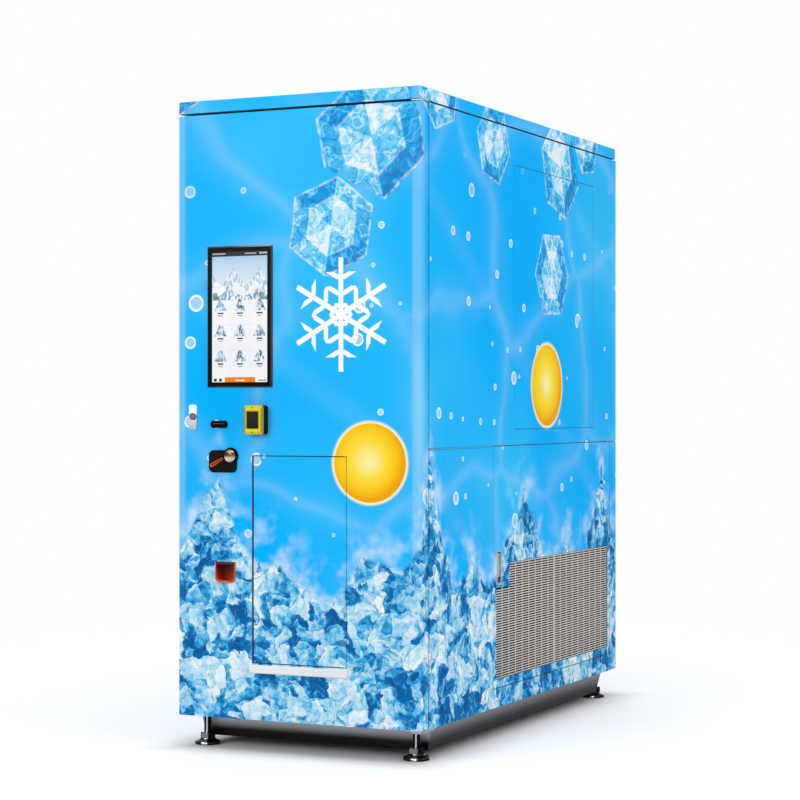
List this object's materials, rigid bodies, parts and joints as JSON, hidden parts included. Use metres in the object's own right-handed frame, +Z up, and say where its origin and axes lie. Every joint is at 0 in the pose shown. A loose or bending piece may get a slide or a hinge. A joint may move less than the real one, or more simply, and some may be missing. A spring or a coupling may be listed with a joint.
{
  "type": "ice vending machine",
  "caption": "Tall, deep cabinet vending machine for bagged ice with a touch screen, payment slots, a delivery flap and a side service door with a slotted grille.",
  "frame": {"origin": "on the floor under the middle of the machine's box", "axes": "+Z up, -Y out of the front door, +X to the viewer's right, towards the service door"},
  "size_m": [0.9, 1.912, 2.165],
  "materials": {
    "wrap_blue": "printed gloss wrap",
    "cap_blue": "gloss paint",
    "gap_navy": "matt",
    "frame_grey": "powder coat",
    "plinth_grey": "powder coat",
    "foot_black": "gloss",
    "foot_steel": "gloss black",
    "pin_steel": "bright",
    "seal_rubber": "matt",
    "door_steel": "galvanised",
    "bezel_black": "gloss",
    "screen_dark": "glass front",
    "device_grey": "satin",
    "reader_black": "satin",
    "reader_yellow": "gloss",
    "entry_orange": "gloss",
    "button_chrome": "polished",
    "cup_red": "gloss",
    "sill_white": "white paint",
    "outlet_steel": "brushed",
    "bin_white": "moulded",
    "motor_grey": "cast",
    "shroud_steel": "galvanised",
    "fan_black": "moulded",
    "coil_alu": "finned",
    "compressor_black": "gloss paint",
    "pipe_copper": "copper",
    "tank_plastic": "moulded",
    "filter_blue": "gloss",
    "fitting_plastic": "moulded",
    "grille_grey": "satin paint"
  },
  "bodies": {
    "cabinet": {"base_frame": "frame_grey", "base_plinth": "plinth_grey", "foot_pads": "foot_black", "foot_nuts": "foot_steel", "foot_stems": "foot_steel", "left_side_skin": "wrap_blue", "right_upper_skin": "wrap_blue", "upper_access_panel": "wrap_blue", "right_lower_skin": "wrap_blue", "rear_skin": "wrap_blue", "roof_panel": "gap_navy", "top_cap": "cap_blue", "front_frame": "frame_grey", "rear_posts": "frame_grey", "front_bulkhead": "frame_grey", "mid_deck": "frame_grey", "pivot_pins": "pin_steel", "delivery_bay": "outlet_steel", "ice_chute": "outlet_steel", "ice_bin": "bin_white", "auger_motor": "motor_grey", "ice_maker": "bin_white", "fan_shroud": "shroud_steel", "fan_motor": "motor_grey", "condenser_coil": "coil_alu", "compressor_mounts": "seal_rubber", "compressor": "compressor_black", "refrigerant_pipes": "pipe_copper", "water_tank": "tank_plastic", "water_filters": "filter_blue", "control_box": "device_grey", "rear_fittings": "fitting_plastic"},
    "front_door": {"door_skin": "wrap_blue", "door_frame": "door_steel", "door_gasket": "seal_rubber", "screen_bezel": "bezel_black", "screen_glass": "screen_dark", "display_box": "device_grey", "card_reader_body": "reader_black", "card_reader_bezel": "reader_yellow", "card_reader_screen": "screen_dark", "bill_bezel": "bezel_black", "bill_unit": "device_grey", "coin_plate": "reader_black", "coin_entry": "entry_orange", "coin_unit": "device_grey", "coin_cup": "cup_red", "lock_plate": "pin_steel", "outlet_frame": "outlet_steel", "outlet_sill": "sill_white"},
    "lock": {"lock_cylinder": "button_chrome"},
    "coin_button": {"coin_button": "button_chrome"},
    "delivery_flap": {"delivery_flap": "wrap_blue"},
    "service_door": {"service_door_skin": "wrap_blue", "grille": "grille_grey", "latch_plate": "reader_black"},
    "latch": {"latch_lever": "pin_steel"},
    "fan": {"condenser_fan": "fan_black"},
    "auger": {"auger": "outlet_steel"}
  },
  "joints": [
    {"name": "front_door_hinge", "type": "hinge", "parent": "cabinet", "child": "front_door", "pos_m": [0.438, -0.889, 1.03], "axis": [0, 0, 1], "range_deg": [0, 110]},
    {"name": "lock_turn", "type": "hinge", "parent": "front_door", "child": "lock", "pos_m": [-0.3895, -0.919, 1.109], "axis": [0, 1, 0], "range_deg": [0, 90]},
    {"name": "coin_button_push", "type": "slide", "parent": "front_door", "child": "coin_button", "axis": [0, 1, 0], "range_m": [0, 0.004], "stiffness_N_per_m": 600},
    {"name": "flap_hinge", "type": "hinge", "parent": "front_door", "child": "delivery_flap", "pos_m": [0.176, -0.91, 0.29], "axis": [0, 0, 1], "range_deg": [0, 95]},
    {"name": "service_door_hinge", "type": "hinge", "parent": "cabinet", "child": "service_door", "pos_m": [0.4435, 0.845, 0.172], "axis": [0, 0, 1], "range_deg": [0, 110]},
    {"name": "latch_swing", "type": "hinge", "parent": "service_door", "child": "latch", "pos_m": [0.443, -0.293, 0.633], "axis": [0, -1, 0], "range_deg": [0, 60]},
    {"name": "fan_spin", "type": "hinge", "parent": "cabinet", "child": "fan", "pos_m": [0.32, 0.261, 0.4], "axis": [1, 0, 0], "continuous": true},
    {"name": "auger_spin", "type": "hinge", "parent": "cabinet", "child": "auger", "pos_m": [0, -0.485, 1.13], "axis": [0, 1, 0], "continuous": true}
  ]
}
